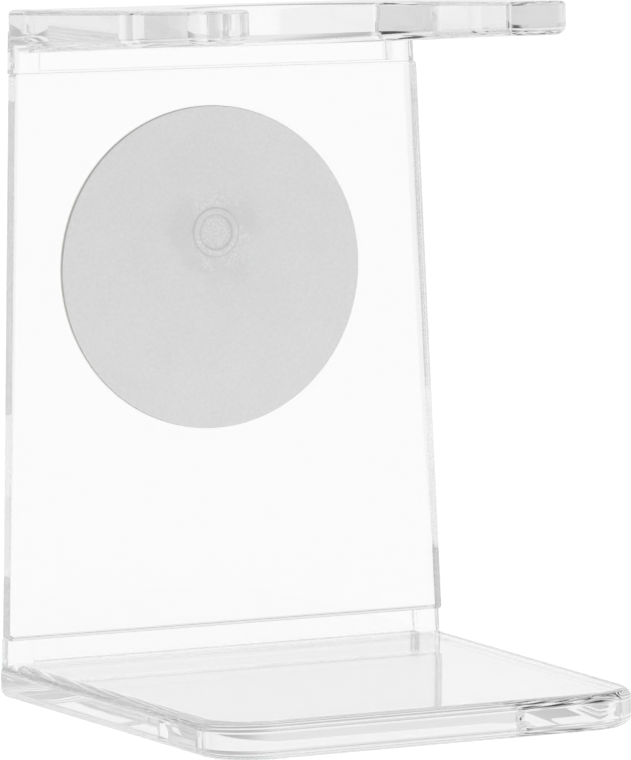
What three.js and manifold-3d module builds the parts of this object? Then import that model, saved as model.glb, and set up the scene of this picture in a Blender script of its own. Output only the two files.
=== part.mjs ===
// A shaving brush stand of clear moulded plastic: a base plate, a tapered back panel and a forked top
// plate that the brush hangs in by its neck. A thin adhesive pad sits behind the panel, so that the
// stand can also be stuck to a tiled wall or a mirror.
// Millimetres, +Z up, +X to the right and -Y to the front. The origin is under the middle of the stand.

import * as THREE from 'three';
import { mergeVertices } from 'three/addons/utils/BufferGeometryUtils.js';
import Module from 'manifold-3d';

// Base plate: a low slab with a soft edge all round and wide rounded front corners
const BASE_DEPTH = 62.9;
const BASE_REAR_WIDTH = 59.7;
const BASE_FRONT_WIDTH = 54.8;
const BASE_THICKNESS = 4.4;
const BASE_CORNER_RADIUS = 7.2;
const BASE_EDGE_RADIUS = 1.3;

// Back panel: a tapered plate, held between the necks of the base and the fork, just inside the base's sides
const PANEL_HEIGHT = 69.1;
const PANEL_THICKNESS = 3.5;
const PANEL_SIDE_INSET = 0.55;
const PANEL_TOP_WIDTH = 53.9;
const PANEL_FRONT_RADIUS = 0.45;
const PANEL_REAR_RADIUS = 1.2;
const PANEL_END_RADIUS = 0.4;

// Necks: short stems on the base and the fork, flush with the panel's sides, with an end post on each
// side of a thinner web
const BASE_NECK_HEIGHT = 2.8;
const FORK_NECK_HEIGHT = 2.5;
const NECK_FRONT_STEP = 0.4;
const NECK_POST_WIDTH = 3.4;
const NECK_POCKET_DEPTH = 1.7;
const NECK_CORNER_RADIUS = 0.8;
const POCKET_CORNER_RADIUS = 0.4;
const FORK_NECK_LIP = 0.3;

// Fork: the top plate with the brush slot, thinner at its tips and rising a little towards them. At the
// rear it stands out a little from the panel's top corners
const FORK_REACH = 51.3;
const FORK_SIDE_OVERHANG = 0.05;
const FORK_FRONT_WIDTH = 48.0;
const FORK_REAR_THICKNESS = 5.3;
const FORK_TIP_THICKNESS = 4.0;
const FORK_TIP_RISE = 1.85;
const FORK_TIP_RADIUS = 2.0;
const FORK_LOWER_RADIUS = 1.4;
const FORK_UPPER_RADIUS = 0.7;
const SLOT_WIDTH = 33.0;
const SLOT_DEPTH = 36.0;
const SLOT_CORNER_RADIUS = 16.4;

// Rear vertical corners of the base and the fork, measured on the flat faces inside the rounded edges
const REAR_CORNER_RADIUS = 0.2;

// Gate mark on the panel's rear face: a shallow dimple with the cut-off stub standing in it
const GATE_HEIGHT = 55.9;
const GATE_DIMPLE_DIAMETER = 6.2;
const GATE_STUB_DIAMETER = 4.2;
const GATE_DIMPLE_DEPTH = 0.3;

// Adhesive pad and the liner that covers it, put on by hand a little to the left of the middle
const PAD_DIAMETER = 40.0;
const PAD_THICKNESS = 0.5;
const LINER_THICKNESS = 0.2;
const PAD_OFFSET_X = -0.55;
const PAD_HEIGHT = 51.6;

// Facets: chords in an arc, an edge and a disc
const ARC_STEPS = 10;
const EDGE_STEPS = 5;
const DISC_STEPS = 96;
const GATE_STEPS = 36;

// Places that follow from the sizes above
const wallRear = (BASE_DEPTH - PAD_THICKNESS - LINER_THICKNESS) / 2;
const baseFront = wallRear - BASE_DEPTH;
const panelFront = wallRear - PANEL_THICKNESS;
const neckFront = panelFront + NECK_FRONT_STEP;
const forkFront = wallRear - FORK_REACH;
const slotRear = forkFront + SLOT_DEPTH;
const panelBottomWidth = BASE_REAR_WIDTH - 2 * PANEL_SIDE_INSET;
const forkRearWidth = PANEL_TOP_WIDTH + 2 * FORK_SIDE_OVERHANG;
const panelBottom = BASE_THICKNESS + BASE_NECK_HEIGHT;
const panelTop = panelBottom + PANEL_HEIGHT;
const forkUnderside = panelTop + FORK_NECK_HEIGHT;

const wasm = await Module();
wasm.setup();

// Turns a closed geometry into a solid that can be joined and cut
function solidFrom(geometry) {
  const bare = geometry.clone();
  bare.deleteAttribute('normal');
  bare.deleteAttribute('uv');
  const welded = mergeVertices(bare, 1e-5);
  return new wasm.Manifold(new wasm.Mesh({
    numProp: 3,
    vertProperties: new Float32Array(welded.attributes.position.array),
    triVerts: new Uint32Array(welded.index.array),
  }));
}

// Turns a finished solid back into a geometry with flat faces
function geometryFrom(solid) {
  const mesh = solid.getMesh();
  const geometry = new THREE.BufferGeometry();
  geometry.setAttribute('position', new THREE.BufferAttribute(mesh.vertProperties, 3));
  geometry.setIndex(new THREE.BufferAttribute(mesh.triVerts, 1));
  const flat = geometry.toNonIndexed();
  flat.computeVertexNormals();
  return flat;
}

// The two directions out of a corner, half the angle between them, and whether it points into the outline
function cornerFrame(corners, i) {
  const here = new THREE.Vector2(corners[i][0], corners[i][1]);
  const previous = corners.at(i - 1);
  const next = corners[(i + 1) % corners.length];
  const before = new THREE.Vector2(previous[0], previous[1]).sub(here).normalize();
  const after = new THREE.Vector2(next[0], next[1]).sub(here).normalize();
  const halfAngle = Math.acos(before.dot(after)) / 2;
  const bisector = before.clone().add(after).normalize();
  return { here, before, after, halfAngle, bisector, turnsInward: after.cross(before) < 0 };
}

// The points of a closed outline through corners given counter-clockwise, each [x, y, radius]
function outlinePoints(corners) {
  const points = [];
  corners.forEach(([, , radius], i) => {
    const { here, before, after, halfAngle, bisector, turnsInward } = cornerFrame(corners, i);
    const reach = radius / Math.tan(halfAngle);
    const centre = here.clone().addScaledVector(bisector, radius / Math.sin(halfAngle));
    const start = here.clone().addScaledVector(before, reach).sub(centre).angle();
    const end = here.clone().addScaledVector(after, reach).sub(centre).angle();
    const arc = new THREE.EllipseCurve(centre.x, centre.y, radius, radius, start, end, turnsInward);
    points.push(...arc.getPoints(ARC_STEPS));
  });
  return points;
}

// The same outline drawn a distance further in: its arcs keep their centres
function insetCorners(corners, inset) {
  return corners.map(([, , radius], i) => {
    const { here, halfAngle, bisector, turnsInward } = cornerFrame(corners, i);
    const move = turnsInward ? -inset : inset;
    const moved = here.addScaledVector(bisector, move / Math.sin(halfAngle));
    return [moved.x, moved.y, radius - move];
  });
}

// How far an edge with this radius draws the outline in, at steps of height away from the flat face
function edgeLevels(radius) {
  const steps = radius > 0 ? EDGE_STEPS : 0;
  return Array.from({ length: steps + 1 }, (_, step) => {
    const angle = (step / EDGE_STEPS) * (Math.PI / 2);
    return { height: radius * (1 - Math.cos(angle)), inset: radius * (1 - Math.sin(angle)) };
  });
}

// The triangles that close a level ring of points
function capTriangles(ring) {
  return THREE.ShapeUtils.triangulateShape(ring.map(({ x, y }) => new THREE.Vector2(x, y)), []);
}

// A closed slab of the outline from z = 0 to z = thickness, with rounded lower and upper edges
function roundedSlab(corners, thickness, lowerRadius, upperRadius) {
  const lower = edgeLevels(lowerRadius);
  const upper = edgeLevels(upperRadius).map(({ height, inset }) => ({ height: thickness - height, inset }));
  const rings = [...lower, ...upper.reverse()].map(({ height, inset }) => (
    outlinePoints(insetCorners(corners, inset)).map(({ x, y }) => new THREE.Vector3(x, y, height))
  ));
  const around = rings[0].length;
  const index = [];
  for (let ring = 0; ring + 1 < rings.length; ring += 1) {
    for (let i = 0; i < around; i += 1) {
      const next = (i + 1) % around;
      const a = ring * around + i;
      const b = ring * around + next;
      index.push(a, b, a + around, b, b + around, a + around);
    }
  }
  const upperStart = (rings.length - 1) * around;
  capTriangles(rings[0]).forEach(([a, b, c]) => index.push(c, b, a));
  capTriangles(rings.at(-1)).forEach((face) => index.push(...face.map((i) => i + upperStart)));
  const slab = new THREE.BufferGeometry().setFromPoints(rings.flat());
  slab.setIndex(index);
  return slab;
}

// Moves every point of a geometry by a rule
function reshape(geometry, rule) {
  const points = geometry.attributes.position;
  const point = new THREE.Vector3();
  for (let i = 0; i < points.count; i += 1) {
    rule(point.fromBufferAttribute(points, i));
    points.setXYZ(i, point.x, point.y, point.z);
  }
  return geometry;
}

// Half the wall's width at a height: the panel and both necks follow the same tapering sides
function wallHalfWidth(z) {
  const share = (z - panelBottom) / PANEL_HEIGHT;
  return (panelBottomWidth + (PANEL_TOP_WIDTH - panelBottomWidth) * share) / 2;
}

// Leans upright sides drawn at the panel's foot to the wall's taper
function leanSides(geometry) {
  return reshape(geometry, (point) => {
    point.x += Math.sign(point.x) * (wallHalfWidth(point.z) - wallHalfWidth(panelBottom));
  });
}

// A neck from one height to another: two end posts with a web behind the pocket between them
function neckStem(fromHeight, toHeight) {
  const outer = wallHalfWidth(panelBottom);
  const inner = outer - NECK_POST_WIDTH;
  const pocketFloor = neckFront + NECK_POCKET_DEPTH;
  const stem = roundedSlab([
    [outer, wallRear, NECK_CORNER_RADIUS],
    [-outer, wallRear, NECK_CORNER_RADIUS],
    [-outer, neckFront, NECK_CORNER_RADIUS],
    [-inner, neckFront, POCKET_CORNER_RADIUS],
    [-inner, pocketFloor, POCKET_CORNER_RADIUS],
    [inner, pocketFloor, POCKET_CORNER_RADIUS],
    [inner, neckFront, POCKET_CORNER_RADIUS],
    [outer, neckFront, NECK_CORNER_RADIUS],
  ], toHeight - fromHeight, 0, 0);
  return solidFrom(leanSides(stem.translate(0, 0, fromHeight)));
}

// The full-thickness lip that closes the fork's neck against the panel
function neckLip(fromHeight, toHeight) {
  const outer = wallHalfWidth(panelBottom);
  const lip = roundedSlab([
    [outer, wallRear, NECK_CORNER_RADIUS],
    [-outer, wallRear, NECK_CORNER_RADIUS],
    [-outer, neckFront, NECK_CORNER_RADIUS],
    [outer, neckFront, NECK_CORNER_RADIUS],
  ], toHeight - fromHeight, 0, 0);
  return solidFrom(leanSides(lip.translate(0, 0, fromHeight)));
}

function basePlate() {
  const rearCorner = REAR_CORNER_RADIUS + BASE_EDGE_RADIUS;
  const outline = [
    [BASE_REAR_WIDTH / 2, wallRear, rearCorner],
    [-BASE_REAR_WIDTH / 2, wallRear, rearCorner],
    [-BASE_FRONT_WIDTH / 2, baseFront, BASE_CORNER_RADIUS],
    [BASE_FRONT_WIDTH / 2, baseFront, BASE_CORNER_RADIUS],
  ];
  const slab = roundedSlab(outline, BASE_THICKNESS, BASE_EDGE_RADIUS, BASE_EDGE_RADIUS);
  return geometryFrom(solidFrom(slab).add(neckStem(BASE_THICKNESS / 2, panelBottom)));
}

function backPanel() {
  const half = panelBottomWidth / 2;
  const section = [
    [half, wallRear, PANEL_REAR_RADIUS],
    [-half, wallRear, PANEL_REAR_RADIUS],
    [-half, panelFront, PANEL_FRONT_RADIUS],
    [half, panelFront, PANEL_FRONT_RADIUS],
  ];
  const plate = roundedSlab(section, PANEL_HEIGHT, PANEL_END_RADIUS, PANEL_END_RADIUS);
  plate.translate(0, 0, panelBottom);
  return geometryFrom(solidFrom(leanSides(plate)).subtract(gateDimple()));
}

// The ring-shaped hollow round the gate stub, open through the panel's rear face
function gateDimple() {
  const stub = GATE_STUB_DIAMETER / 2;
  const rim = GATE_DIMPLE_DIAMETER / 2;
  const floor = wallRear - GATE_DIMPLE_DEPTH;
  const beyond = wallRear + GATE_DIMPLE_DEPTH;
  const ring = new THREE.LatheGeometry([
    new THREE.Vector2(stub, floor),
    new THREE.Vector2(rim, floor),
    new THREE.Vector2(rim, beyond),
    new THREE.Vector2(stub, beyond),
    new THREE.Vector2(stub, floor),
  ], GATE_STEPS);
  return solidFrom(ring.translate(0, 0, GATE_HEIGHT));
}

function brushFork() {
  const rear = forkRearWidth / 2;
  const front = FORK_FRONT_WIDTH / 2;
  const slot = SLOT_WIDTH / 2;
  const rearCorner = REAR_CORNER_RADIUS + FORK_LOWER_RADIUS;
  const outline = [
    [rear, wallRear, rearCorner],
    [-rear, wallRear, rearCorner],
    [-front, forkFront, FORK_TIP_RADIUS],
    [-slot, forkFront, FORK_TIP_RADIUS],
    [-slot, slotRear, SLOT_CORNER_RADIUS],
    [slot, slotRear, SLOT_CORNER_RADIUS],
    [slot, forkFront, FORK_TIP_RADIUS],
    [front, forkFront, FORK_TIP_RADIUS],
  ];
  const level = roundedSlab(outline, FORK_REAR_THICKNESS, FORK_LOWER_RADIUS, FORK_UPPER_RADIUS);
  const plate = reshape(level, (point) => {
    const share = (neckFront - point.y) / (neckFront - forkFront);
    const thickness = FORK_REAR_THICKNESS + (FORK_TIP_THICKNESS - FORK_REAR_THICKNESS) * share;
    point.z = forkUnderside + FORK_TIP_RISE * share + thickness * (point.z / FORK_REAR_THICKNESS);
  });
  const stem = neckStem(panelTop, forkUnderside + FORK_REAR_THICKNESS / 2);
  return geometryFrom(solidFrom(plate).add(stem).add(neckLip(panelTop, panelTop + FORK_NECK_LIP)));
}

// A thin round disc behind the panel, from one depth to another
function rearDisc(fromDepth, toDepth) {
  const radius = PAD_DIAMETER / 2;
  const disc = new THREE.CylinderGeometry(radius, radius, toDepth - fromDepth, DISC_STEPS);
  return disc.translate(PAD_OFFSET_X, (fromDepth + toDepth) / 2, PAD_HEIGHT);
}

const clearPlastic = { color: 0xf2f5f6, roughness: 0.04, metalness: 0, transparent: true, opacity: 0.35 };
const padFoam = { color: 0xd8d8d8, roughness: 0.8, metalness: 0 };
const linerPaper = { color: 0xeeebe2, roughness: 0.6, metalness: 0 };

function addPiece(group, name, geometry, finish) {
  const mesh = new THREE.Mesh(geometry, new THREE.MeshStandardMaterial(finish));
  mesh.name = name;
  group.add(mesh);
}

const padRear = wallRear + PAD_THICKNESS;
const stand = new THREE.Group();
stand.name = 'shaving_brush_stand';
addPiece(stand, 'base_plate', basePlate(), clearPlastic);
addPiece(stand, 'back_panel', backPanel(), clearPlastic);
addPiece(stand, 'brush_fork', brushFork(), clearPlastic);
addPiece(stand, 'adhesive_pad', rearDisc(wallRear, padRear), padFoam);
addPiece(stand, 'pad_liner', rearDisc(padRear, padRear + LINER_THICKNESS), linerPaper);

export default stand;
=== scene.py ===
# %% [markdown]
# A shaving brush stand in clear moulded plastic
#
# The stand is a C in profile: a thick base plate, an upright panel behind it, and a fork above that
# holds the brush by its neck with the bristles down. A grey adhesive disc sits behind the panel.
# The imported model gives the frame, so every piece below lies where the solids are, in metres.

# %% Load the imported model
import math

import bmesh
import bpy
from mathutils import Matrix, Vector


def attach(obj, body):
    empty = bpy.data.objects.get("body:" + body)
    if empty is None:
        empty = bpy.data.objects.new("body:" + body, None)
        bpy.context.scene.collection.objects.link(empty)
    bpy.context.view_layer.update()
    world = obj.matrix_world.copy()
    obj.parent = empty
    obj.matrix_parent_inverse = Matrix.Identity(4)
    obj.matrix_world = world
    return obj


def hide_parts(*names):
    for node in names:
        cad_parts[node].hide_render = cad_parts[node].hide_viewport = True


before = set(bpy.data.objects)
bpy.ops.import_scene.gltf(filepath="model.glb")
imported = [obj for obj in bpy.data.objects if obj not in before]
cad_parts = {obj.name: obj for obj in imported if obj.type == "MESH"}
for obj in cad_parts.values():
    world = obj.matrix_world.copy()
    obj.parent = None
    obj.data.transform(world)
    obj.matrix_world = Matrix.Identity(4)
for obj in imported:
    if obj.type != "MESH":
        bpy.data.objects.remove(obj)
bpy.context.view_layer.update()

MM = 0.001

# %% [markdown]
# The camera stands to the left of the stand and a little above it, some way off with a long lens.
# Its angles and place were found by fitting the edges of the panel, base and fork to the photograph.

# %% Camera
CAMERA_TURN = 0.4292
CAMERA_DIP = 0.0908
CAMERA_ROLL = -0.0175
CAMERA_PLACE = Vector((-0.281073, -0.613216, 0.101226))
FOCAL_PIXELS = 5682.9
LONG_SIDE_PIXELS = 760
SENSOR = 36.0
NEAREST = 0.01
FARTHEST = 60


def aim(turn, dip, roll):
    """The camera's axes as columns: right, up and back."""
    ahead = Vector((math.sin(turn) * math.cos(dip), math.cos(turn) * math.cos(dip), -math.sin(dip)))
    level = Vector((math.cos(turn), -math.sin(turn), 0))
    upright = level.cross(ahead)
    right = level * math.cos(roll) + upright * math.sin(roll)
    up = upright * math.cos(roll) - level * math.sin(roll)
    return Matrix((right, up, -ahead)).transposed()


camera_data = bpy.data.cameras.new("camera")
camera_data.sensor_width = SENSOR
camera_data.lens = FOCAL_PIXELS / LONG_SIDE_PIXELS * SENSOR
camera_data.clip_start = NEAREST
camera_data.clip_end = FARTHEST
camera = bpy.data.objects.new("camera", camera_data)
turned_to = aim(CAMERA_TURN, CAMERA_DIP, CAMERA_ROLL).to_4x4()
camera.matrix_world = Matrix.Translation(CAMERA_PLACE) @ turned_to
bpy.context.scene.collection.objects.link(camera)
bpy.context.scene.camera = camera
print("camera lens in mm", round(camera_data.lens, 1))

# %% [markdown]
# Every finish below is a small tree of shader nodes, and the plates share a tree of geometry nodes. They
# are built in code, so that each value can be read and changed. Setting up one node takes several lines,
# so a helper adds it, sets its options, and gives each input a value or a link. The other helpers start a
# finish, and do the small sums that the finishes share: a product, a blend and a soft step.

# %% Helpers for node trees
def put(tree, kind, inputs=None, **settings):
    """Adds a node, sets its properties, and fills inputs by name or number with a value or a link."""
    made = tree.nodes.new(kind)
    for key, value in settings.items():
        setattr(made, key, value)
    for key, value in (inputs or {}).items():
        if isinstance(value, bpy.types.NodeSocket):
            tree.links.new(value, made.inputs[key])
        else:
            made.inputs[key].default_value = value
    return made


def new_finish(name):
    """An empty material, its tree, and the place on the piece that its patterns follow."""
    material = bpy.data.materials.new(name)
    material.use_nodes = True
    tree = material.node_tree
    tree.nodes.clear()
    return material, tree, put(tree, "ShaderNodeTexCoord").outputs["Object"]


def times(tree, one, other):
    """The product of two values."""
    return put(tree, "ShaderNodeMath", {0: one, 1: other}, operation="MULTIPLY").outputs[0]


def blend(tree, share, start, end):
    """A value that goes from one to another as a share goes from 0 to 1."""
    mixed = put(tree, "ShaderNodeMix", {"Factor": share, "A": start, "B": end}, data_type="FLOAT")
    return mixed.outputs["Result"]


def soft_step(tree, value, gone, full):
    """0 at one value, 1 at the other, and a smooth change between them."""
    made = put(tree, "ShaderNodeMapRange", {"Value": value, "From Min": gone, "From Max": full},
               interpolation_type="SMOOTHSTEP")
    return made.outputs["Result"]


# %% [markdown]
# Clear plastic has almost no colour of its own: it shows what stands round it. A product photographer
# stands it on a white table, and the white of the picture is that table. Lamps alone would leave the
# stand's shadow on it, so here a part of the table's light is a glow of its own. Its paint and glow are
# a painted light where the camera looks past the stand, pale elsewhere, and a painted soft grey shade
# far off on the left.

# %% White table
FLOOR_HALF = 8.0
TABLE_PAINTED_LIGHT = 1.0
TABLE_PALE = 0.93
TABLE_PAINT = 0.84
TABLE_GLOW = 0.48
TABLE_ROUGHNESS = 0.9
TABLE_GAP = 0.05 * MM
# The painted pool of light where the camera sees the table behind the stand: half angles in degrees, depths
# in metres
BEAM_FULL = 3.3
BEAM_GONE = 4.4
BEAM_FROM = -0.25
BEAM_WHOLE = -0.045
# The painted grey shade far off on the left: its shade, heading and half angles in degrees, distances in
# metres
FAR_PAINTED_SHADE = 0.74
FAR_COMPASS = 305
FAR_FULL = 35
FAR_GONE = 60
FAR_FROM = 0.45
FAR_WHOLE = 0.6


def heading(compass, height=0.0):
    """The direction at a compass angle from behind the stand towards its right, and a height angle."""
    turn, rise = math.radians(compass), math.radians(height)
    return math.sin(turn) * math.cos(rise), math.cos(turn) * math.cos(rise), math.sin(rise)


def within(tree, direction, axis, full, gone):
    """1 within one angle of an axis and 0 past a wider one, for a direction of length 1."""
    along = put(tree, "ShaderNodeVectorMath", {0: direction, 1: axis}, operation="DOT_PRODUCT")
    outside, inside = math.cos(math.radians(gone)), math.cos(math.radians(full))
    return soft_step(tree, along.outputs["Value"], outside, inside)


def sector(tree, place, foot, compass, full, gone):
    """1 on the table within an angle on both sides of a heading, as seen from a foot point."""
    away = put(tree, "ShaderNodeVectorMath", {0: place, 1: foot}, operation="SUBTRACT")
    unit = put(tree, "ShaderNodeVectorMath", {0: away.outputs["Vector"]}, operation="NORMALIZE")
    return within(tree, unit.outputs["Vector"], heading(compass), full, gone)


def table_finish():
    """Painted light behind the stand as seen, pale elsewhere, and a painted grey shade far to the left."""
    material, tree, place = new_finish("white_table")
    view = math.degrees(CAMERA_TURN)
    far = put(tree, "ShaderNodeVectorMath", {0: place}, operation="LENGTH")
    past = soft_step(tree, far.outputs["Value"], FAR_FROM, FAR_WHOLE)
    left = sector(tree, place, (0, 0, 0), FAR_COMPASS, FAR_FULL, FAR_GONE)
    pale = blend(tree, times(tree, left, past), TABLE_PALE, FAR_PAINTED_SHADE)
    beam = sector(tree, place, (CAMERA_PLACE.x, CAMERA_PLACE.y, 0), view, BEAM_FULL, BEAM_GONE)
    depth = put(tree, "ShaderNodeVectorMath", {0: place, 1: heading(view)}, operation="DOT_PRODUCT")
    reach = soft_step(tree, depth.outputs["Value"], BEAM_FROM, BEAM_WHOLE)
    # The table's paint and glow carry painted light in the camera's beam and a painted shade far to the
    # left.
    shade = blend(tree, times(tree, beam, reach), pale, TABLE_PAINTED_LIGHT)
    surface = put(tree, "ShaderNodeBsdfPrincipled", {
        "Base Color": times(tree, shade, TABLE_PAINT),
        "Roughness": TABLE_ROUGHNESS,
        "Specular IOR Level": 0.0,
        "Emission Color": (1, 1, 1, 1),
        "Emission Strength": times(tree, shade, TABLE_GLOW),
    })
    put(tree, "ShaderNodeOutputMaterial", {"Surface": surface.outputs["BSDF"]})
    return material


corners = [(-FLOOR_HALF, -FLOOR_HALF, -TABLE_GAP), (FLOOR_HALF, -FLOOR_HALF, -TABLE_GAP),
           (FLOOR_HALF, FLOOR_HALF, -TABLE_GAP), (-FLOOR_HALF, FLOOR_HALF, -TABLE_GAP)]
table_mesh = bpy.data.meshes.new("table")
table_mesh.from_pydata(corners, [], [(0, 1, 2, 3)])
table_mesh.materials.append(table_finish())
table = bpy.data.objects.new("table", table_mesh)
bpy.context.scene.collection.objects.link(table)
print("table of", 2 * FLOOR_HALF, "m")

# %% [markdown]
# The light comes from the room all round, a bright world with soft patches, as from large lamps behind
# cloth. Round clear plastic a photographer also puts dark screens, out of sight, so that rounded edges
# pick up a darker line. Here the right side is grey and a screen at the left rear is nearly black.
# Light that is caught in a plate bounces many times before it gets out, so the limit on bounces is high.

# %% Room
LIGHT_BOUNCES = 128
ROOM_WALLS = 0.86
# Each soft patch of the room: compass angle, height angle, angle where it is full, angle where it has
# faded out, brightness
ROOM_PATCHES = {
    "backdrop": (22, 6, 16, 34, 1.1),
    "light front": (160, 20, 30, 60, 1.0),
    "grey right side": (65, 25, 20, 40, 0.65),
    "dark screen at the left rear": (319, 20, 19, 24, 0.02),
}


def build_room():
    """The world as one brightness, with each patch laid softly over the ones before it."""
    world = bpy.data.worlds.new("room")
    bpy.context.scene.world = world
    world.use_nodes = True
    tree = world.node_tree
    tree.nodes.clear()
    looking = put(tree, "ShaderNodeTexCoord").outputs["Generated"]
    level = ROOM_WALLS
    for compass, height, full, gone, bright in ROOM_PATCHES.values():
        inside = within(tree, looking, heading(compass, height), full, gone)
        level = blend(tree, inside, level, bright)
    glow = put(tree, "ShaderNodeBackground", {"Strength": level})
    put(tree, "ShaderNodeOutputWorld", {"Surface": glow.outputs["Background"]})


build_room()
scene = bpy.context.scene
scene.view_settings.view_transform = "Standard"
scene.cycles.max_bounces = LIGHT_BOUNCES
scene.cycles.transmission_bounces = LIGHT_BOUNCES
scene.cycles.glossy_bounces = LIGHT_BOUNCES
scene.cycles.blur_glossy = 0.0
print("room with", len(ROOM_PATCHES), "soft patches")

# %% [markdown]
# The clear plastic is acrylic or a styrene of about the same optical strength, polished in the mould.
# Its surface is never quite flat: the melt leaves long shallow waves as it cools, and these make the
# thick edges shimmer. A bump of very low height gives that without any paint, and faint scuffs dull the
# polish here and there. A little light is lost inside, which shows only where it has come a long way.

# %% Clear plastic
PLASTIC_IOR = 1.49
PLASTIC_TINT = (0.93, 0.931, 0.931, 1)
PLASTIC_LOSS = 1.0
WAVE_PER_METRE = 60
WAVE_HEIGHT = 0.003 * MM
SCUFF_PER_METRE = 900
SCUFF_FROM = 0.35
SCUFF_WHOLE = 0.8
SCUFF_ROUGHNESS = 0.035


def clear_plastic():
    material, tree, place = new_finish("clear_plastic")
    waves = put(tree, "ShaderNodeTexNoise", {"Vector": place, "Scale": WAVE_PER_METRE, "Detail": 1})
    scuffs = put(tree, "ShaderNodeTexNoise", {"Vector": place, "Scale": SCUFF_PER_METRE, "Detail": 2})
    polish = put(tree, "ShaderNodeMapRange", {
        "Value": scuffs.outputs["Fac"],
        "From Min": SCUFF_FROM, "From Max": SCUFF_WHOLE, "To Min": 0.0, "To Max": SCUFF_ROUGHNESS,
    })
    relief = put(tree, "ShaderNodeBump", {
        "Strength": 1.0, "Distance": WAVE_HEIGHT, "Height": waves.outputs["Fac"],
    })
    surface = put(tree, "ShaderNodeBsdfPrincipled", {
        "Base Color": PLASTIC_TINT,
        "Roughness": polish.outputs["Result"],
        "IOR": PLASTIC_IOR,
        "Transmission Weight": 1.0,
        "Normal": relief.outputs["Normal"],
    })
    inside = put(tree, "ShaderNodeVolumeAbsorption", {"Color": (0, 0, 0, 1), "Density": PLASTIC_LOSS})
    put(tree, "ShaderNodeOutputMaterial", {
        "Surface": surface.outputs["BSDF"], "Volume": inside.outputs["Volume"],
    })
    return material


plastic = clear_plastic()
print("plastic bends light by", PLASTIC_IOR)

# %% [markdown]
# The base, the panel, the fork and its necks are all plates that follow one rule: an outline with
# rounded corners, and an edge of a given radius swept round it. One node tree makes them all. It rounds
# the corners of an outline, sweeps the edge's profile along it, fills the two open ends, and welds them.
# A Bevel modifier could round the edges too, but here the lower and upper rounds can differ.

# %% Edge of a rounded plate
def edge_profile(tree, sizes):
    """The plate's edge from below to above, as three curves: x runs outwards and y runs down."""
    thick, lower, upper = (sizes[name] for name in ("Thickness", "Lower Edge", "Upper Edge"))
    steps = put(tree, "ShaderNodeMath", {0: sizes["Edge Steps"], 1: 1}, operation="ADD").outputs[0]
    shoulder = put(tree, "ShaderNodeMath", {0: thick, 1: upper}, operation="SUBTRACT").outputs[0]

    def point(inwards, upwards):
        there = put(tree, "ShaderNodeCombineXYZ", {"X": inwards, "Y": upwards}).outputs[0]
        return put(tree, "ShaderNodeVectorMath", {0: there, "Scale": -1}, operation="SCALE").outputs[0]

    low_arc = put(tree, "GeometryNodeCurveArc", {
        "Resolution": steps, "Radius": lower, "Start Angle": math.pi / 2, "Sweep Angle": -math.pi / 2,
    })
    low_turn = put(tree, "GeometryNodeTransform", {
        0: low_arc.outputs[0], "Translation": point(lower, lower),
    })
    wall = put(tree, "GeometryNodeCurvePrimitiveLine", {
        "Start": point(0, lower), "End": point(0, shoulder),
    })
    top_arc = put(tree, "GeometryNodeCurveArc", {
        "Resolution": steps, "Radius": upper, "Start Angle": 0.0, "Sweep Angle": -math.pi / 2,
    })
    top_turn = put(tree, "GeometryNodeTransform", {
        0: top_arc.outputs[0], "Translation": point(upper, shoulder),
    })
    profile = put(tree, "GeometryNodeJoinGeometry")
    for part in (top_turn, wall, low_turn):
        tree.links.new(part.outputs[0], profile.inputs[0])
    return profile.outputs[0]


# %% Flat faces of a rounded plate
def cap(tree, rim, thick, above):
    """Fills the rim's open loop on one side and puts the face at that side's height."""
    place = put(tree, "ShaderNodeSeparateXYZ", {0: put(tree, "GeometryNodeInputPosition").outputs[0]})
    middle = times(tree, thick, 0.5)
    side = put(tree, "FunctionNodeCompare", {0: place.outputs["Z"], 1: middle},
               operation="GREATER_THAN" if above else "LESS_THAN")
    faces = put(tree, "GeometryNodeInputMeshEdgeNeighbors").outputs["Face Count"]
    open_edge = put(tree, "FunctionNodeCompare", {2: faces, 3: 1}, data_type="INT", operation="EQUAL")
    chosen = put(tree, "FunctionNodeBooleanMath", {0: side.outputs[0], 1: open_edge.outputs[0]},
                 operation="AND")
    loop = put(tree, "GeometryNodeMeshToCurve", {"Mesh": rim, "Selection": chosen.outputs[0]})
    face = put(tree, "GeometryNodeFillCurve", {0: loop.outputs[0]}, mode="TRIANGLES")
    if not above:
        return put(tree, "GeometryNodeFlipFaces", {0: face.outputs[0]}).outputs[0]
    lift = put(tree, "ShaderNodeCombineXYZ", {"Z": thick})
    return put(tree, "GeometryNodeSetPosition", {0: face.outputs[0], "Offset": lift.outputs[0]}).outputs[0]


# %% Tree for a rounded plate
TREE_WELD = 1e-7


def socket(tree, label, kind, way="INPUT"):
    """Adds an input or an output to a tree."""
    return tree.interface.new_socket(label, in_out=way, socket_type="NodeSocket" + kind)


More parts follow.
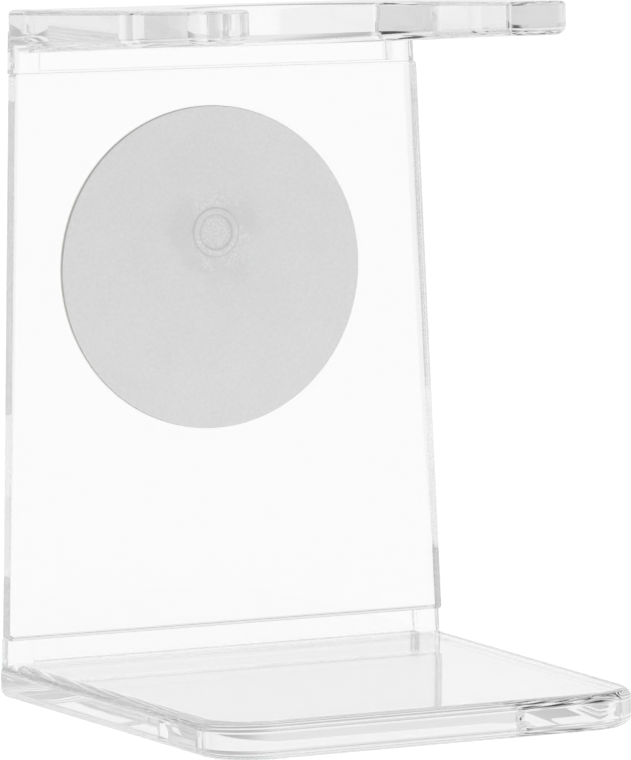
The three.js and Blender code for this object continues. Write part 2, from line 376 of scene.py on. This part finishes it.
def rounded_plate_tree():
    """An outline with a radius at each corner in, a closed plate with a rounded edge out."""
    tree = bpy.data.node_groups.new("rounded_plate", "GeometryNodeTree")
    socket(tree, "Outline", "Geometry")
    for label in ("Thickness", "Lower Edge", "Upper Edge"):
        socket(tree, label, "Float")
    for label in ("Corner Steps", "Edge Steps"):
        socket(tree, label, "Int")
    socket(tree, "Plastic", "Material")
    socket(tree, "Plate", "Geometry", "OUTPUT")
    sizes = put(tree, "NodeGroupInput").outputs
    radius = put(tree, "GeometryNodeInputNamedAttribute", {"Name": "corner_radius"}, data_type="FLOAT")
    line = put(tree, "GeometryNodeMeshToCurve", {"Mesh": sizes["Outline"]})
    path = put(tree, "GeometryNodeFilletCurve", {
        "Curve": line.outputs[0], "Count": sizes["Corner Steps"], "Radius": radius.outputs["Attribute"],
    }, mode="POLY")
    level = put(tree, "GeometryNodeSetCurveNormal", {0: path.outputs[0]}, mode="Z_UP")
    swept = put(tree, "GeometryNodeCurveToMesh", {
        "Curve": level.outputs[0], "Profile Curve": edge_profile(tree, sizes),
    })
    rim = put(tree, "GeometryNodeMergeByDistance", {0: swept.outputs[0], "Distance": TREE_WELD}).outputs[0]
    whole = put(tree, "GeometryNodeJoinGeometry")
    thick = sizes["Thickness"]
    for part in (rim, cap(tree, rim, thick, False), cap(tree, rim, thick, True)):
        tree.links.new(part, whole.inputs[0])
    welded = put(tree, "GeometryNodeMergeByDistance", {0: whole.outputs[0], "Distance": TREE_WELD})
    real = put(tree, "GeometryNodeRealizeInstances", {0: welded.outputs[0]})
    done = put(tree, "GeometryNodeSetMaterial", {0: real.outputs[0], "Material": sizes["Plastic"]})
    put(tree, "NodeGroupOutput", {0: done.outputs[0]})
    return tree


plate_tree = rounded_plate_tree()
print("tree", plate_tree.name, "with", len(plate_tree.nodes), "nodes")

# %% [markdown]
# The tree needs an object to work on. Each plate starts as a bare outline, one point for each corner,
# with the corner's radius stored on the point. The result is made a plain mesh and welded, so that the
# plate can then be bent, cut or joined like any other mesh.

# %% Make a plate from its corners
CORNER_STEPS = 32
EDGE_STEPS = 12
MESH_WELD = 1e-8


def plain_mesh(thing):
    """The evaluated object as a mesh of its own, with the modifiers used up."""
    graph = bpy.context.evaluated_depsgraph_get()
    made = bpy.data.meshes.new_from_object(thing.evaluated_get(graph), preserve_all_data_layers=True,
                                           depsgraph=graph)
    old = thing.data
    thing.modifiers.clear()
    thing.data = made
    bpy.data.meshes.remove(old)
    return made


def close(thing):
    """Welds a piece, turns its faces outwards, and prints whether it is closed and what it holds."""
    solid = bmesh.new()
    solid.from_mesh(thing.data)
    bmesh.ops.remove_doubles(solid, verts=solid.verts, dist=MESH_WELD)
    bmesh.ops.recalc_face_normals(solid, faces=solid.faces)
    solid.to_mesh(thing.data)
    loose = sum(not edge.is_manifold for edge in solid.edges)
    volume = solid.calc_volume() / MM ** 3
    print(thing.name, len(solid.faces), "faces,", loose, "open edges,", round(volume, 1), "cubic mm")
    solid.free()


def plate(name, corners, thickness, lower, upper, corner_steps=CORNER_STEPS):
    """A plate from z = 0 up, in mm: corners run counter-clockwise, each (x, y, radius)."""
    count = len(corners)
    outline = bpy.data.meshes.new(name)
    outline.from_pydata([(x * MM, y * MM, 0) for x, y, _ in corners],
                        [(i, (i + 1) % count) for i in range(count)], [])
    radii = outline.attributes.new("corner_radius", "FLOAT", "POINT")
    for i, (_, _, radius) in enumerate(corners):
        radii.data[i].value = radius * MM
    thing = bpy.data.objects.new(name, outline)
    bpy.context.scene.collection.objects.link(thing)
    nodes = thing.modifiers.new("rounded_plate", "NODES")
    nodes.node_group = plate_tree
    values = {"Thickness": thickness * MM, "Lower Edge": lower * MM, "Upper Edge": upper * MM,
              "Corner Steps": corner_steps, "Edge Steps": EDGE_STEPS, "Plastic": plastic}
    for item in plate_tree.interface.items_tree:
        if item.name in values:
            nodes[item.identifier] = values[item.name]
    plain_mesh(thing)
    close(thing)
    return thing


# %% [markdown]
# A moulded piece is a plate that leans or slopes, with others joined to it. A rule moves its points, and
# a Boolean joins or cuts. The last step gives normals that keep the flats flat and the edges round,
# because on clear plastic a slightly wrong normal shows at once as a smear.

# %% Shape, join and polish a piece
SHARP_ANGLE = math.radians(35)
FLAT_WEIGHT = 100


def reshape(thing, rule):
    """Moves every point by a rule in mm."""
    for vertex in thing.data.vertices:
        vertex.co = Vector(rule(*(vertex.co / MM))) * MM


def combine(thing, other, operation):
    """Joins another solid to a piece, or cuts it out, and removes it."""
    tool = thing.modifiers.new(operation.lower(), "BOOLEAN")
    tool.operation = operation
    tool.solver = "EXACT"
    tool.object = other
    plain_mesh(thing)
    bpy.data.objects.remove(other)


def polish_edges(thing):
    """Shades flats as flats and edges as true rounds."""
    close(thing)
    thing.data.shade_smooth()
    thing.data.set_sharp_from_angle(angle=SHARP_ANGLE)
    weights = thing.modifiers.new("true_normals", "WEIGHTED_NORMAL")
    weights.mode = "FACE_AREA"
    weights.weight = FLAT_WEIGHT
    weights.keep_sharp = True
    plain_mesh(thing)


def stand_for(thing, node):
    """The piece takes a solid's place in the frame."""
    thing.name = node + "_piece"
    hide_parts(node)
    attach(thing, "root")


# %% [markdown]
# The wall stands on the base through a low neck: two posts at its ends with a thin web behind them.
# The same neck, upside down, carries the fork. Its sides lean with the wall, which is narrower above.
# It is drawn as a plate seen from above, and each point then slides sideways to follow the taper.
# A bonded seam has no air in it, so the neck reaches a hair into the panel and light goes straight on.

# %% Neck
SEAM = 0.008
WALL_REAR = 31.1
PANEL_FRONT = 27.6
NECK_FRONT = 28.0
PANEL_BOTTOM = 7.2
PANEL_TOP = 76.3
PANEL_BOTTOM_WIDTH = 58.6
PANEL_TOP_WIDTH = 53.9
WALL_HALF = PANEL_BOTTOM_WIDTH / 2
NECK_POST_WIDTH = 3.4
NECK_POCKET = 1.7
NECK_ROUND = 0.8
POCKET_ROUND = 0.4
NECK_EDGE = 0.02
NECK_STEPS = 12


def lean(x, y, z):
    """A point of an upright side drawn at the panel's foot, moved to the wall's taper."""
    share = (z - PANEL_BOTTOM) / (PANEL_TOP - PANEL_BOTTOM)
    inwards = (PANEL_BOTTOM_WIDTH - PANEL_TOP_WIDTH) / 2 * share
    return x - math.copysign(1, x) * inwards, y, z


def neck(name, low, high):
    """Two posts and the web behind them, between two heights."""
    inner = WALL_HALF - NECK_POST_WIDTH
    floor = NECK_FRONT + NECK_POCKET
    stem = plate(name, [
        (WALL_HALF, WALL_REAR, NECK_ROUND),
        (-WALL_HALF, WALL_REAR, NECK_ROUND),
        (-WALL_HALF, NECK_FRONT, NECK_ROUND),
        (-inner, NECK_FRONT, POCKET_ROUND),
        (-inner, floor, POCKET_ROUND),
        (inner, floor, POCKET_ROUND),
        (inner, NECK_FRONT, POCKET_ROUND),
        (WALL_HALF, NECK_FRONT, NECK_ROUND),
    ], high - low, NECK_EDGE, NECK_EDGE, NECK_STEPS)
    reshape(stem, lambda x, y, z: lean(x, y, z + low))
    return stem


# %% [markdown]
# The base is the heaviest plate, with big rounded front corners and a soft edge all round. Its two faces
# are parallel, so light that is caught between them keeps its angle and the top stays clear and bright.
# Base and neck are one moulding, so a Boolean joins them into one solid without a wall inside.

# %% Base plate
BASE_FRONT = -31.8
BASE_REAR_WIDTH = 59.7
BASE_FRONT_WIDTH = 54.8
BASE_THICKNESS = 4.4
BASE_EDGE = 1.3
BASE_REAR_CORNER = 1.5
BASE_FRONT_CORNER = 7.2

base = plate("base", [
    (BASE_REAR_WIDTH / 2, WALL_REAR, BASE_REAR_CORNER),
    (-BASE_REAR_WIDTH / 2, WALL_REAR, BASE_REAR_CORNER),
    (-BASE_FRONT_WIDTH / 2, BASE_FRONT, BASE_FRONT_CORNER),
    (BASE_FRONT_WIDTH / 2, BASE_FRONT, BASE_FRONT_CORNER),
], BASE_THICKNESS, BASE_EDGE, BASE_EDGE)
combine(base, neck("base_neck", BASE_THICKNESS / 2, PANEL_BOTTOM + SEAM), "UNION")
polish_edges(base)
stand_for(base, "base_plate")

# %% [markdown]
# The panel is one upright plate with eased edges. Where the melt was let into the mould there is
# a small stub in a round hollow on its rear face, which shows through the plastic as two fine rings.
# The hollow is turned like a lathe part and cut out of the plate.

# %% Back panel
PANEL_FRONT_ROUND = 0.45
PANEL_REAR_ROUND = 1.2
PANEL_END_ROUND = 0.4
GATE_HEIGHT = 55.9
GATE_STEPS = 96
GATE_DEPTH = 0.3
GATE_OVERCUT = 0.3
GATE_HOLLOW = [(2.1, GATE_OVERCUT), (2.1, -0.22), (2.18, -0.29), (2.28, -GATE_DEPTH), (2.92, -GATE_DEPTH),
               (3.03, -0.26), (3.1, -0.16), (3.1, GATE_OVERCUT)]


def turned(name, section, steps, centre_x, depth, height):
    """A closed body turned about an axis along y; the section holds (radius, depth behind the wall)."""
    rings = len(section)
    points = []
    for step in range(steps):
        angle = 2 * math.pi * step / steps
        for radius, back in section:
            points.append(((centre_x + radius * math.cos(angle)) * MM, (depth + back) * MM,
                           (height + radius * math.sin(angle)) * MM))
    faces = []
    for step in range(steps):
        here, there = step * rings, (step + 1) % steps * rings
        for ring in range(rings):
            after = (ring + 1) % rings
            if section[ring][0] or section[after][0]:
                faces.append((here + ring, here + after, there + after, there + ring))
    mesh = bpy.data.meshes.new(name)
    mesh.from_pydata(points, [], faces)
    thing = bpy.data.objects.new(name, mesh)
    bpy.context.scene.collection.objects.link(thing)
    close(thing)
    return thing


panel = plate("panel", [
    (WALL_HALF, WALL_REAR, PANEL_REAR_ROUND),
    (-WALL_HALF, WALL_REAR, PANEL_REAR_ROUND),
    (-WALL_HALF, PANEL_FRONT, PANEL_FRONT_ROUND),
    (WALL_HALF, PANEL_FRONT, PANEL_FRONT_ROUND),
], PANEL_TOP - PANEL_BOTTOM, PANEL_END_ROUND, PANEL_END_ROUND)
reshape(panel, lambda x, y, z: lean(x, y, z + PANEL_BOTTOM))
combine(panel, turned("gate", GATE_HOLLOW, GATE_STEPS, 0, WALL_REAR, GATE_HEIGHT), "DIFFERENCE")
polish_edges(panel)
stand_for(panel, "back_panel")

# %% [markdown]
# The fork is a plate with a slot for the brush's neck. It gets thinner and rises a little towards its
# tips, so that a brush hung in it does not slide out. The slot could be cut out, but then its edges would
# be sharp. Here it is part of the outline, and the tree rounds its edges with the rest. The level plate's
# points then move to the slope. A thin lip closes the neck where it meets the panel.

# %% Fork
FORK_FRONT = -20.2
FORK_REAR_WIDTH = 54.0
FORK_FRONT_WIDTH = 48.0
FORK_UNDERSIDE = 78.8
FORK_REAR_THICKNESS = 5.3
FORK_TIP_THICKNESS = 4.0
FORK_TIP_RISE = 1.85
FORK_LOWER_EDGE = 1.4
FORK_UPPER_EDGE = 0.7
FORK_REAR_CORNER = 1.6
FORK_TIP_ROUND = 2.0
SLOT_WIDTH = 33.0
SLOT_REAR = 15.8
SLOT_ROUND = 16.4
FORK_LIP = 0.3
FORK_STEPS = 40


def fork_slope(x, y, z):
    """A point of the level plate, moved to the slope of the fork's two faces."""
    share = (NECK_FRONT - y) / (NECK_FRONT - FORK_FRONT)
    thickness = FORK_REAR_THICKNESS + (FORK_TIP_THICKNESS - FORK_REAR_THICKNESS) * share
    return x, y, FORK_UNDERSIDE + FORK_TIP_RISE * share + thickness * z / FORK_REAR_THICKNESS


fork = plate("fork", [
    (FORK_REAR_WIDTH / 2, WALL_REAR, FORK_REAR_CORNER),
    (-FORK_REAR_WIDTH / 2, WALL_REAR, FORK_REAR_CORNER),
    (-FORK_FRONT_WIDTH / 2, FORK_FRONT, FORK_TIP_ROUND),
    (-SLOT_WIDTH / 2, FORK_FRONT, FORK_TIP_ROUND),
    (-SLOT_WIDTH / 2, SLOT_REAR, SLOT_ROUND),
    (SLOT_WIDTH / 2, SLOT_REAR, SLOT_ROUND),
    (SLOT_WIDTH / 2, FORK_FRONT, FORK_TIP_ROUND),
    (FORK_FRONT_WIDTH / 2, FORK_FRONT, FORK_TIP_ROUND),
], FORK_REAR_THICKNESS, FORK_LOWER_EDGE, FORK_UPPER_EDGE, FORK_STEPS)
reshape(fork, fork_slope)
combine(fork, neck("fork_neck", PANEL_TOP - SEAM, FORK_UNDERSIDE + FORK_REAR_THICKNESS / 2), "UNION")
lip = plate("fork_lip", [(x, y, NECK_ROUND) for x, y in (
    (WALL_HALF, WALL_REAR), (-WALL_HALF, WALL_REAR), (-WALL_HALF, NECK_FRONT), (WALL_HALF, NECK_FRONT),
)], FORK_LIP, NECK_EDGE, NECK_EDGE, NECK_STEPS)
reshape(lip, lambda x, y, z: lean(x, y, z + PANEL_TOP - SEAM))
combine(fork, lip, "UNION")
polish_edges(fork)
stand_for(fork, "brush_fork")

# %% [markdown]
# A disc of grey adhesive foam holds the stand to a mirror or a tile. It is turned from a section with
# a soft rim, and a second turned ring is joined to it where the foam is pressed into the hollow round the
# gate's stub. The adhesive wets the plastic, so there is no air between them, and the disc's grey also
# shows in the panel's left side, where light would otherwise be caught.

# %% Adhesive pad
PAD_X = -0.55
PAD_HEIGHT = 51.6
PAD_RADIUS = 20.0
PAD_THICKNESS = 0.5
PAD_STEPS = 192
PAD_LINER_GAP = 0.03
PAD_BACK = PAD_THICKNESS - PAD_LINER_GAP
# The pad's soft rim from its rear to its front: distance in from the rim, depth behind the wall
PAD_RIM = [(0.14, PAD_BACK), (0.04, 0.42), (0.0, 0.3), (0.0, 0.2), (0.03, 0.09), (0.12, -SEAM)]
PAD_SECTION = [(0.0, PAD_BACK), *((PAD_RADIUS - inset, back) for inset, back in PAD_RIM), (0.0, -SEAM)]
RING_FLOOR = -GATE_DEPTH - SEAM
PAD_RING = [(2.2, 0.2), (2.2, -0.2), (2.3, RING_FLOOR), (2.9, RING_FLOOR), (3.0, -0.2), (3.0, 0.2)]

pad = turned("pad", PAD_SECTION, PAD_STEPS, PAD_X, WALL_REAR, PAD_HEIGHT)
combine(pad, turned("pad_ring", PAD_RING, GATE_STEPS, 0, WALL_REAR, GATE_HEIGHT), "UNION")

# %% [markdown]
# The foam is a pale grey with a fine grain, and it is seen through the panel, so its front face matters.
# Near the gate the adhesive is darker, with small bubbles in it, whose paler dots are a painted glint, and
# a painted shade darkens the rim. A drawn picture would need to be fitted to the disc. Noise and distances
# on the piece's own place need no fitting.

# %% Pad foam
NOISE_LOW = 0.3
NOISE_HIGH = 0.7
GRAIN_PER_METRE = 2600
PATCH_PER_METRE = 170
PATCH_SHARE = 0.25
FOAM_DARK = 0.9
FOAM_PALE = 0.98
FOAM_ROUGHNESS = 0.75
GRAIN_HEIGHT = 0.05 * MM
GRAIN_STRENGTH = 0.4
RIM_BAND = 0.12
RIM_PAINTED_SHADE = 0.5
WET_FULL = 4.2
WET_GONE = 7.0
WET_WANDER = 6.0
WET_SHADE = 0.95
BUBBLES_PER_METRE = 3400
DOT_FROM = 0.52
DOT_WHOLE = 0.58
CROWD_FROM = 0.46
CROWD_WHOLE = 0.52
BUBBLE_PAINTED_GLINT = 0.995


def flat_distance(tree, place, x, z):
    """How far a point is from a spot on the wall, in mm."""
    flat = put(tree, "ShaderNodeVectorMath", {0: place, 1: (1, 0, 1)}, operation="MULTIPLY")
    away = put(tree, "ShaderNodeVectorMath", {0: flat.outputs["Vector"], 1: (x * MM, 0, z * MM)},
               operation="DISTANCE")
    return times(tree, away.outputs["Value"], 1 / MM)


def foam_grey(tree, grain, patches):
    """The foam's own grey: a fine grain and a little of the broad patches."""
    return put(tree, "ShaderNodeMapRange", {
        "Value": blend(tree, PATCH_SHARE, grain, patches),
        "From Min": NOISE_LOW, "From Max": NOISE_HIGH, "To Min": FOAM_DARK, "To Max": FOAM_PALE,
    }).outputs["Result"]


def wet_round_gate(tree, place, patches):
    """1 near the gate, where the adhesive lies thickest, with an edge that wanders by some millimetres."""
    from_gate = flat_distance(tree, place, 0, GATE_HEIGHT)
    uneven = put(tree, "ShaderNodeMath", {0: patches, 1: WET_WANDER, 2: from_gate},
                 operation="MULTIPLY_ADD")
    return soft_step(tree, uneven.outputs[0], WET_GONE + WET_WANDER / 2, WET_FULL + WET_WANDER / 2)


def bubbles_in(tree, place, patches, wet):
    """1 in small bubbles that crowd together in some patches of the wet adhesive; they get a painted glint.
    """
    cells = put(tree, "ShaderNodeTexNoise", {"Vector": place, "Scale": BUBBLES_PER_METRE, "Detail": 1})
    dots = soft_step(tree, cells.outputs["Fac"], DOT_FROM, DOT_WHOLE)
    crowd = soft_step(tree, patches, CROWD_FROM, CROWD_WHOLE)
    return times(tree, times(tree, dots, crowd), wet)


def pad_foam():
    material, tree, place = new_finish("pad_foam")
    grain, patches = (
        put(tree, "ShaderNodeTexNoise", {"Vector": place, "Scale": scale, "Detail": 3}).outputs["Fac"]
        for scale in (GRAIN_PER_METRE, PATCH_PER_METRE)
    )
    wet = wet_round_gate(tree, place, patches)
    dimmed = times(tree, foam_grey(tree, grain, patches), blend(tree, wet, 1.0, WET_SHADE))
    # The bubbles are real, but their paler colour is a painted glint of the air in them.
    dotted = blend(tree, bubbles_in(tree, place, patches, wet), dimmed, BUBBLE_PAINTED_GLINT)
    # A painted shade darkens the disc's rim, where its side wall falls in shadow.
    from_middle = flat_distance(tree, place, PAD_X, PAD_HEIGHT)
    rim = soft_step(tree, from_middle, PAD_RADIUS - RIM_BAND, PAD_RADIUS)
    relief = put(tree, "ShaderNodeBump", {
        "Strength": GRAIN_STRENGTH, "Distance": GRAIN_HEIGHT, "Height": grain,
    })
    surface = put(tree, "ShaderNodeBsdfPrincipled", {
        "Base Color": blend(tree, rim, dotted, RIM_PAINTED_SHADE),
        "Roughness": FOAM_ROUGHNESS,
        "Normal": relief.outputs["Normal"],
    })
    put(tree, "ShaderNodeOutputMaterial", {"Surface": surface.outputs["BSDF"]})
    return material


pad.data.materials.clear()
pad.data.materials.append(pad_foam())
polish_edges(pad)
stand_for(pad, "adhesive_pad")

# %% [markdown]
# The pad's other side is still covered by its liner, a waxed paper that is peeled off to fix the stand.
# It is a thin turned disc with an eased rim. Fine fibres give the paper its cloudy off-white.

# %% Liner
LINER_THICKNESS = 0.2
LINER_EASE = 0.05
LINER_EASE_DEPTH = 0.04
LINER_SECTION = [
    (0.0, LINER_THICKNESS),
    (PAD_RADIUS - LINER_EASE, LINER_THICKNESS),
    (PAD_RADIUS, LINER_THICKNESS - LINER_EASE_DEPTH),
    (PAD_RADIUS, LINER_EASE_DEPTH),
    (PAD_RADIUS - LINER_EASE, 0.0),
    (0.0, 0.0),
]
FIBRES_PER_METRE = 900
FIBRE_TWIST = 1.2
FIBRE_HEIGHT = 0.03 * MM
FIBRE_STRENGTH = 0.3
PAPER_DARK = (0.76, 0.74, 0.68, 1)
PAPER_PALE = (0.86, 0.84, 0.78, 1)
PAPER_ROUGHNESS = 0.45


def liner_paper():
    material, tree, place = new_finish("liner_paper")
    fibres = put(tree, "ShaderNodeTexNoise", {
        "Vector": place, "Scale": FIBRES_PER_METRE, "Detail": 6, "Distortion": FIBRE_TWIST,
    })
    shade = put(tree, "ShaderNodeValToRGB", {"Fac": fibres.outputs["Fac"]})
    ends = ((NOISE_LOW, PAPER_DARK), (NOISE_HIGH, PAPER_PALE))
    for element, (position, colour) in zip(shade.color_ramp.elements, ends):
        element.position = position
        element.color = colour
    relief = put(tree, "ShaderNodeBump", {
        "Strength": FIBRE_STRENGTH, "Distance": FIBRE_HEIGHT, "Height": fibres.outputs["Fac"],
    })
    surface = put(tree, "ShaderNodeBsdfPrincipled", {
        "Base Color": shade.outputs["Color"],
        "Roughness": PAPER_ROUGHNESS,
        "Normal": relief.outputs["Normal"],
    })
    put(tree, "ShaderNodeOutputMaterial", {"Surface": surface.outputs["BSDF"]})
    return material


liner = turned("liner", LINER_SECTION, PAD_STEPS, PAD_X, WALL_REAR + PAD_THICKNESS, PAD_HEIGHT)
liner.data.materials.append(liner_paper())
polish_edges(liner)
stand_for(liner, "pad_liner")
